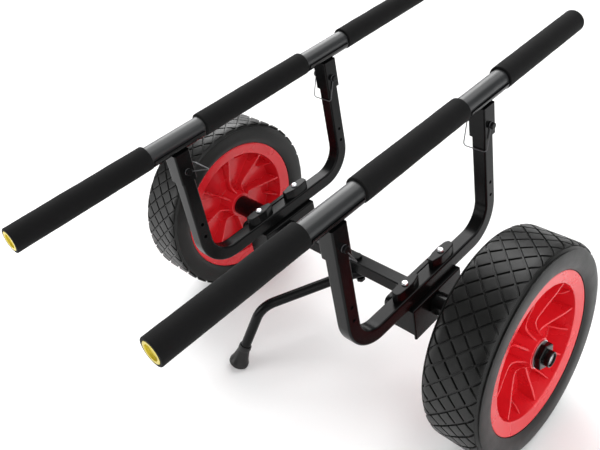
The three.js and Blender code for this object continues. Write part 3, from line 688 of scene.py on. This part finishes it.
yellow = moulded("yellow_plastic", (0.6, 0.48, 0.03), 0.42)
plug = round_bar("end_plug", (0, -plug_head, 0), (0, 0, 0), plug_radius, sides=64)
choose(plug, "FACE", lambda place, way: way.y > 0.9)
bpy.ops.mesh.inset(thickness=plug_radius - plug_recess_radius)
bpy.ops.mesh.extrude_region_move(TRANSFORM_OT_translate={"value": (0, -plug_recess, 0)})
choose(plug, "FACE", lambda place, way: way.y < -0.9)
bpy.ops.mesh.inset(thickness=plug_step)
bpy.ops.mesh.extrude_region_move(TRANSFORM_OT_translate={"value": (0, -plug_tail, 0)})
done()
eased(plug, 0.6 * MM, angle=40, steps=3)
dressed(plug, yellow)
for side, way in (("left", -1), ("right", 1)):
    for end, along in (("near", -1), ("far", 1)):
        turn = (0, 0, 0) if along > 0 else (0, 0, math.pi)
        piece = copied(plug, f"{side}_{end}_end_plug", (way * frame_shift, along * bar_end, bar_height), turn)
        stands_for(piece, "cart", f"{side}_{end}_plug")
bpy.data.objects.remove(plug, do_unlink=True)

# Axles and spacers: a 17.4 mm zinc plated rod is fixed in each end of the crossbar, and
# a black plastic sleeve on it keeps the wheel away from the saddle.
wheel_shift = 290.6 * MM
axle_radius = 8.7 * MM
hub_half = 36 * MM
spacer_radius = 17 * MM
axle_end = 342.3 * MM
axle_inside = 60 * MM
axle_clearance = 0.3 * MM
black_plastic = moulded("black_plastic", (0.0025, 0.0025, 0.0027), 0.2, shine=0.22)
for side, way, inner in (("left", -1, -crossbar_start), ("right", 1, crossbar_end)):
    axle = round_bar(f"{side}_axle_rod", (way * (inner - axle_inside), 0, axle_height),
                     (way * axle_end, 0, axle_height), axle_radius, sides=48)
    eased(axle, 0.8 * MM, angle=40)
    dressed(axle, zinc)
    stands_for(axle, "cart", f"{side}_axle")
    spacer = round_bar(f"{side}_spacer_sleeve", (way * (inner + axle_clearance), 0, axle_height),
                       (way * (wheel_shift - hub_half - axle_clearance), 0, axle_height), spacer_radius,
                       sides=64, ends="NOTHING")
    modified(spacer, "SOLIDIFY", thickness=spacer_radius - axle_radius - axle_clearance, offset=-1)
    eased(spacer, 0.9 * MM, angle=50, steps=3)
    dressed(spacer, black_plastic)
    stands_for(spacer, "cart", f"{side}_spacer")

# Rims: injection-moulded red plastic, one piece. A wide flange faces outwards on both
# sides, eight dished ribs run out from the hub, and short gussets stiffen the barrel.
rim_half_outline = [(36, 8.85), (36, 21.5), (5, 23.5), (5, 92), (34.5, 96), (37.6, 112.5), (37.6, 115.5),
                    (31.6, 115.5), (31.6, 108)]
rib_edge = [(19.5, 34), (24, 27), (29, 20.5), (34, 17.2), (40, 17), (48, 18.8), (60, 22), (78, 27.5),
            (95, 31.5)]
gusset_edge = [(77, 4), (80, 11), (87, 22), (95, 30)]
rib_count = 8
rib_thickness = 3.2 * MM
gusset_thickness = 2.4 * MM
red_plastic = moulded("red_plastic", (0.66, 0.012, 0.02), 0.27, grain=260, depth=0.03)


def spun(name, outline, steps):
    """A closed outline of (along the axle, reach) in millimetres, spun about the X axis."""
    points = [(along * MM, 0, reach * MM) for along, reach in outline]
    piece = drawn(name, points + [points[0]])
    choose(piece, "VERT", lambda place: True)
    bpy.ops.mesh.remove_doubles(threshold=0.00001)
    bpy.ops.mesh.spin(steps=steps, angle=2 * math.pi, axis=(1, 0, 0), center=(0, 0, 0))
    done()
    outward(piece)
    return piece


def rib_plate(name, edge, thickness):
    """A thin upright plate between the hub and the barrel, the same on both sides."""
    outline = edge + [(edge[-1][0] + 3, 0)] + [(reach, -half) for reach, half in reversed(edge)]
    points = [(half * MM, -thickness / 2, reach * MM) for reach, half in outline]
    piece = raised(name, points, (0, thickness, 0))
    modified(piece, "BEVEL", width=0.8 * MM, segments=3, limit_method="ANGLE", angle_limit=math.radians(60))
    return piece


rim_other_half = [(-along, reach) for along, reach in reversed(rim_half_outline)]
rim = spun("rim_moulding", rim_half_outline + rim_other_half, 144)
modified(rim, "BEVEL", width=0.9 * MM, segments=3, limit_method="ANGLE", angle_limit=math.radians(25))
rib = rib_plate("rib", rib_edge, rib_thickness)
gusset = rib_plate("gusset", gusset_edge, gusset_thickness)
for number in range(rib_count):
    turn = 2 * math.pi * number / rib_count
    combined(rim, copied(rib, "rib_here", turn=(turn, 0, 0)), "UNION")
    combined(rim, copied(gusset, "gusset_here", turn=(turn + math.pi / rib_count, 0, 0)), "UNION")
bpy.data.objects.remove(rib, do_unlink=True)
bpy.data.objects.remove(gusset, do_unlink=True)
smooth(rim, 35)
dressed(rim, red_plastic)
for side, way in (("left", -1), ("right", 1)):
    piece = copied(rim, f"{side}_rim_moulding", (way * wheel_shift, 0, axle_height))
    stands_for(piece, f"{side}_wheel", f"{side}_rim")
bpy.data.objects.remove(rim, do_unlink=True)

# Tyres: solid foamed rubber, moulded in one piece and stretched on the rim. Diamond blocks
# run shoulder to shoulder with narrow grooves, and smooth sidewalls round in to the bead.
tread_steps = 36
tread_finer = 4
groove_floor = 149.8 * MM
block_height = 2.2 * MM
block_edge = 0.6 * MM
groove_half = 1.35 * MM
shoulder_start = 29
shoulder_round = 11.8
shoulder_steps = 8
tread_half = 39 * MM
tread_rows = 3
row_lines = (13 * MM, 39 * MM)


def rubber(name, colour):
    """Moulded rubber: matt, faintly cloudy, with a fine grain and a bloom on high spots."""
    return coated(name, colour, 0.42, shine=0.32, speckle=700, depth=0.25, patch=0.14, tint=0.45, mottle=45)


tyre_rubber = rubber("tyre_rubber", (0.0055, 0.0056, 0.0052))

crown = groove_floor / MM
floor_outline = [(0, crown), (shoulder_start, crown)]
for number in range(1, shoulder_steps + 1):
    lean = math.radians(90 * number / shoulder_steps)
    floor_outline.append((shoulder_start + shoulder_round * math.sin(lean),
                          crown - shoulder_round * (1 - math.cos(lean))))
mirrored = [(-along, reach) for along, reach in reversed(floor_outline[1:])]
guide = spun("tread_guide", mirrored + floor_outline + [(40.8, 120), (-40.8, 120)], tread_steps * tread_finer)

row = 2 * tread_half / tread_rows
tread = drawn("tread", [(-tread_half + row * number, 0, groove_floor) for number in range(tread_rows + 1)])
choose(tread, "VERT", lambda place: True)
bpy.ops.mesh.spin(steps=tread_steps, angle=2 * math.pi, axis=(1, 0, 0), center=(0, 0, 0))
done()
outward(tread)
choose(tread, "FACE", lambda place, way: True)
bpy.ops.mesh.poke()
done()


def on_row_line(place):
    """True on the lines between the rows and on the tread's two edges."""
    return any(abs(abs(place.x) - line) < 1 * MM for line in row_lines)


choose(tread, "EDGE", lambda a, b: on_row_line(a) and on_row_line(b)
       and not min(abs(a.x), abs(b.x)) > tread_half - 4 * MM)
bpy.ops.mesh.dissolve_edges(use_verts=False)
done()
tread.data.materials.append(tyre_rubber)
tread.data.materials.append(zinc)
choose(tread, "FACE", lambda place, way: True)
bpy.ops.mesh.inset(thickness=groove_half, use_individual=True)
tread.active_material_index = 1
bpy.ops.object.material_slot_assign()
bpy.ops.mesh.select_all(action="SELECT")
bpy.ops.mesh.subdivide(number_cuts=tread_finer - 1)
done()
modified(tread, "SHRINKWRAP", target=guide, wrap_method="NEAREST_SURFACEPOINT")
bpy.data.objects.remove(guide, do_unlink=True)
alone(tread)
bpy.ops.object.mode_set(mode="EDIT")
bpy.ops.mesh.select_mode(type="FACE")
bpy.ops.mesh.select_all(action="DESELECT")
tread.active_material_index = 1
bpy.ops.object.material_slot_select()
bpy.ops.mesh.extrude_region_shrink_fatten(TRANSFORM_OT_shrink_fatten={"value": block_height})
bpy.ops.mesh.region_to_loop()
bpy.ops.mesh.bevel(offset=block_edge, segments=2, affect="EDGES")
done()

sidewall_half = [(39.2, 143.6), (40.3, 144.9), (41.5, 145.1), (42.2, 143.2), (42.8, 140), (43, 136),
                 (43, 131), (42.7, 126.5), (41.9, 122.6), (40.6, 119.6), (39.2, 117.6), (38.3, 116.2),
                 (37.2, 115.8), (31.3, 115.8), (31.3, 108.3)]
sidewall_points = sidewall_half + [(-along, reach) for along, reach in reversed(sidewall_half)]
sidewall = drawn("sidewalls", [(along * MM, 0, reach * MM) for along, reach in sidewall_points])
choose(sidewall, "VERT", lambda place: True)
bpy.ops.mesh.spin(steps=tread_steps * tread_finer, angle=2 * math.pi, axis=(1, 0, 0), center=(0, 0, 0))
done()
outward(sidewall)
alone(tread)
sidewall.select_set(True)
bpy.ops.object.join()
tyre = bpy.context.object
for way in (-1, 1):
    choose(tyre, "EDGE", lambda a, b: False)
    bpy.ops.mesh.select_non_manifold(extend=False)
    bpy.ops.object.mode_set(mode="OBJECT")
    edges = [(edge, edge.select) for edge in tyre.data.edges]
    for edge, picked in edges:
        edge.select = picked and tyre.data.vertices[edge.vertices[0]].co.x * way > 0
    for point in tyre.data.vertices:
        point.select = False
    bpy.ops.object.mode_set(mode="EDIT")
    bpy.ops.mesh.bridge_edge_loops()
    done()
outward(tyre)
smooth(tyre, 32)
dressed(tyre, tyre_rubber)
for side, way in (("left", -1), ("right", 1)):
    piece = copied(tyre, f"{side}_diamond_tyre", (way * wheel_shift, 0, axle_height))
    stands_for(piece, f"{side}_wheel", f"{side}_tyre")
bpy.data.objects.remove(tyre, do_unlink=True)

# Washers and hub nuts: a plain zinc washer bears on the hub, held by a black six-sided
# plastic nut with a round collar through which the axle's end shows.
washer_radius = 19.5 * MM
washer_start = 36.3 * MM
washer_end = 37.9 * MM
nut_corner = 33 * MM / math.sqrt(3)
nut_start = 38.2 * MM
collar_start = 46.2 * MM
collar_end = 54.2 * MM
collar_radius = 11 * MM

washer = round_bar("washer", (washer_start, 0, 0), (washer_end, 0, 0), washer_radius, sides=64, ends="NOTHING")
modified(washer, "SOLIDIFY", thickness=washer_radius - axle_radius - axle_clearance, offset=-1)
eased(washer, 0.3 * MM, angle=50)
dressed(washer, zinc)
nut = round_bar("hub_nut", (nut_start, 0, 0), (collar_start, 0, 0), nut_corner, sides=6)
choose(nut, "FACE", lambda place, way: way.x > 0.9)
bpy.ops.mesh.bevel(offset=1.6 * MM, segments=3, affect="EDGES")
done()
collar = round_bar("collar", (collar_start - 2 * MM, 0, 0), (collar_end, 0, 0), collar_radius, sides=64)
choose(collar, "FACE", lambda place, way: way.x > 0.9)
bpy.ops.mesh.bevel(offset=1.2 * MM, segments=2, affect="EDGES")
done()
combined(nut, collar, "UNION")
nut_bore = round_bar("nut_bore", (nut_start - overrun, 0, 0), (collar_end + overrun, 0, 0),
                     axle_radius + axle_clearance, sides=64)
combined(nut, nut_bore, "DIFFERENCE")
eased(nut, 0.3 * MM, angle=40)
dressed(nut, black_plastic)
for side, way in (("left", -1), ("right", 1)):
    turn = (0, 0, 0) if way > 0 else (0, 0, math.pi)
    piece = copied(washer, f"{side}_hub_washer", (way * wheel_shift, 0, axle_height), turn)
    stands_for(piece, "cart", f"{side}_washer")
    piece = copied(nut, f"{side}_axle_nut", (way * wheel_shift, 0, axle_height), turn)
    stands_for(piece, "cart", f"{side}_hub_nut")
bpy.data.objects.remove(washer, do_unlink=True)
bpy.data.objects.remove(nut, do_unlink=True)

# Support: a 16 mm steel tube with two bends, coated black, hung under the crossbar on an
# upright bolt so that it swings away. A rubber foot is pushed on its lower end.
pivot = Vector((20 * MM, 0, 0))
stand_turn = math.radians(234.8)
stand_radius = 8 * MM
stand_top = 132.4 * MM
stand_bend = 45 * MM
stand_wall = 1.5 * MM
stand_corners = [Vector((-13 * MM, 0, stand_top)), Vector((30 * MM, 0, stand_top)),
                 Vector((161.7 * MM, 0, 112.4 * MM)), Vector((212 * MM, 0, 21 * MM))]

first = stand_corners[0]
bpy.ops.mesh.primitive_circle_add(vertices=32, radius=stand_radius, location=first,
                                  rotation=(0, math.pi / 2, 0))
stand = named("support_tube")
choose(stand, "EDGE", lambda a, b: True)
reached = first.copy()
for number in (1, 2):
    before = (stand_corners[number] - stand_corners[number - 1]).normalized()
    after = (stand_corners[number + 1] - stand_corners[number]).normalized()
    angle = before.angle(after)
    tangent = stand_bend * math.tan(angle / 2)
    arc_start = stand_corners[number] - before * tangent
    bpy.ops.mesh.extrude_region_move(TRANSFORM_OT_translate={"value": arc_start - reached})
    bend_centre = arc_start + Vector((before.z, 0, -before.x)) * stand_bend
    bpy.ops.mesh.spin(steps=10, angle=-angle, axis=(0, 1, 0), center=bend_centre)
    reached = stand_corners[number] + after * tangent
bpy.ops.mesh.extrude_region_move(TRANSFORM_OT_translate={"value": stand_corners[3] - reached})
done()
outward(stand)
modified(stand, "SOLIDIFY", thickness=stand_wall, offset=-1)
eased(stand, 0.3 * MM, angle=50)
dressed(stand, black_coat)
piece = copied(stand, "support_bent_tube", pivot, (0, 0, stand_turn))
stands_for(piece, "stand", "stand_tube")
bpy.data.objects.remove(stand, do_unlink=True)

foot_rubber = rubber("foot_rubber", (0.007, 0.007, 0.0072))
foot_outline = [(-23, 8.3), (-23, 9.2), (-21.5, 10), (-16, 10.2), (-14.5, 9.6), (-11.5, 9.8), (0, 12),
                (6, 13.5), (10, 15.2), (12, 16), (16, 16), (20, 12), (20, 0.5), (2, 0.5), (2, 8.3)]
foot = spun("support_foot", foot_outline, 64)
down = (stand_corners[3] - stand_corners[2]).normalized()
turn = Vector((1, 0, 0)).rotation_difference(down).to_euler()
foot = copied(foot, "foot_in_line", stand_corners[3], turn)
bpy.data.objects.remove(bpy.data.objects["support_foot"], do_unlink=True)
choose(foot, "FACE", lambda place, way: True)
bpy.ops.mesh.bisect(plane_co=(0, 0, 0), plane_no=(0, 0, 1), use_fill=True, clear_inner=True)
done()
eased(foot, 0.6 * MM, angle=35, steps=3)
dressed(foot, foot_rubber)
piece = copied(foot, "support_rubber_foot", pivot, (0, 0, stand_turn))
stands_for(piece, "stand", "stand_foot")
bpy.data.objects.remove(foot, do_unlink=True)

pivot_bolt_radius = 4 * MM
pivot_bolt_corner = 7.5 * MM
stand_bolt = round_bar("support_bolt", (pivot.x, 0, 115.1 * MM), (pivot.x, 0, 165 * MM),
                       pivot_bolt_radius, sides=32)
for low, high in ((163.3, 167.8), (118.1, 124.1)):
    hexagon = round_bar("bolt_hexagon", (pivot.x, 0, low * MM), (pivot.x, 0, high * MM),
                        pivot_bolt_corner, sides=6)
    combined(stand_bolt, hexagon, "UNION")
eased(stand_bolt, 0.5 * MM, angle=40)
dressed(stand_bolt, black_coat)
stands_for(stand_bolt, "cart", "stand_bolt")

# Studio: a pale floor in front of a light grey backdrop, broad soft lamps above and to the
# side, a small low one in front, and the camera where the photograph was taken from.
camera_place = Vector((0.6581, -0.6026, 0.9271))
azimuth, elevation, roll = math.radians(50.42), math.radians(32.98), math.radians(-11.07)
back = Vector((math.sin(azimuth) * math.cos(elevation), -math.cos(azimuth) * math.cos(elevation),
               math.sin(elevation)))
level = Vector((math.cos(azimuth), math.sin(azimuth), 0))
upright = back.cross(level)
right = math.cos(roll) * level + math.sin(roll) * upright
up = -math.sin(roll) * level + math.cos(roll) * upright
camera_data = bpy.data.cameras.new("camera")
picture_width = 600
focal_pixels = 748.4
shift_pixels = -65
sensor = 36
camera_data.lens = focal_pixels / picture_width * sensor
camera_data.sensor_width = sensor
camera_data.shift_y = shift_pixels / picture_width
camera_data.clip_start = 0.01
camera = bpy.data.objects.new("camera", camera_data)
camera.matrix_world = Matrix.Translation(camera_place) @ Matrix((right, up, back)).transposed().to_4x4()
bpy.context.collection.objects.link(camera)
bpy.context.scene.camera = camera

bpy.ops.mesh.primitive_plane_add(size=14, location=(0, 0, -0.0005))
floor = named("floor")
floor_paint = bpy.data.materials.new("floor_paint")
floor_paint.use_nodes = True
floor_shader = floor_paint.node_tree.nodes["Principled BSDF"]
floor_shader.inputs["Base Color"].default_value = (0.92, 0.92, 0.92, 1)
floor_shader.inputs["Roughness"].default_value = 0.9
floor_shader.inputs["Specular IOR Level"].default_value = 0.1
dressed(floor, floor_paint)

world = bpy.data.worlds.new("studio")
bpy.context.scene.world = world
world.use_nodes = True
nodes, links = world.node_tree.nodes, world.node_tree.links
glow = nodes["Background"]
glow.inputs["Color"].default_value = (1, 1, 1, 1)
glow.inputs["Strength"].default_value = 0.2
backdrop = nodes.new("ShaderNodeBackground")
backdrop.inputs["Color"].default_value = (0.8, 0.8, 0.8, 1)
seen = nodes.new("ShaderNodeLightPath")
either = nodes.new("ShaderNodeMixShader")
links.new(seen.outputs["Is Camera Ray"], either.inputs["Fac"])
links.new(glow.outputs["Background"], either.inputs[1])
links.new(backdrop.outputs["Background"], either.inputs[2])
links.new(either.outputs["Shader"], nodes["World Output"].inputs["Surface"])


def lamp(name, way, spread, power):
    """A broad even light that comes from one direction, soft over the given angle."""
    light = bpy.data.lights.new(name, "SUN")
    light.angle = math.radians(spread)
    light.energy = power
    holder = bpy.data.objects.new(name, light)
    holder.location = Vector(way) * 3
    holder.rotation_euler = Vector(way).to_track_quat("Z", "Y").to_euler()
    bpy.context.collection.objects.link(holder)


lamp("back_left_light", (-0.65, 0.53, 0.54), 44, 2.6)
lamp("right_light", (0.8, -0.25, 0.55), 70, 2.0)
lamp("top_light", (0.05, 0.5, 0.86), 55, 1.7)

pool = bpy.data.lights.new("front_left_pool", "AREA")
pool.size = 0.6
pool.energy = 5
pool_holder = bpy.data.objects.new("front_left_pool", pool)
pool_holder.location = (-0.75, -0.95, 0.5)
pool_holder.rotation_euler = Vector((-0.3, -0.45, 0.5)).to_track_quat("Z", "Y").to_euler()
bpy.context.collection.objects.link(pool_holder)

bpy.context.scene.view_settings.view_transform = "Standard"
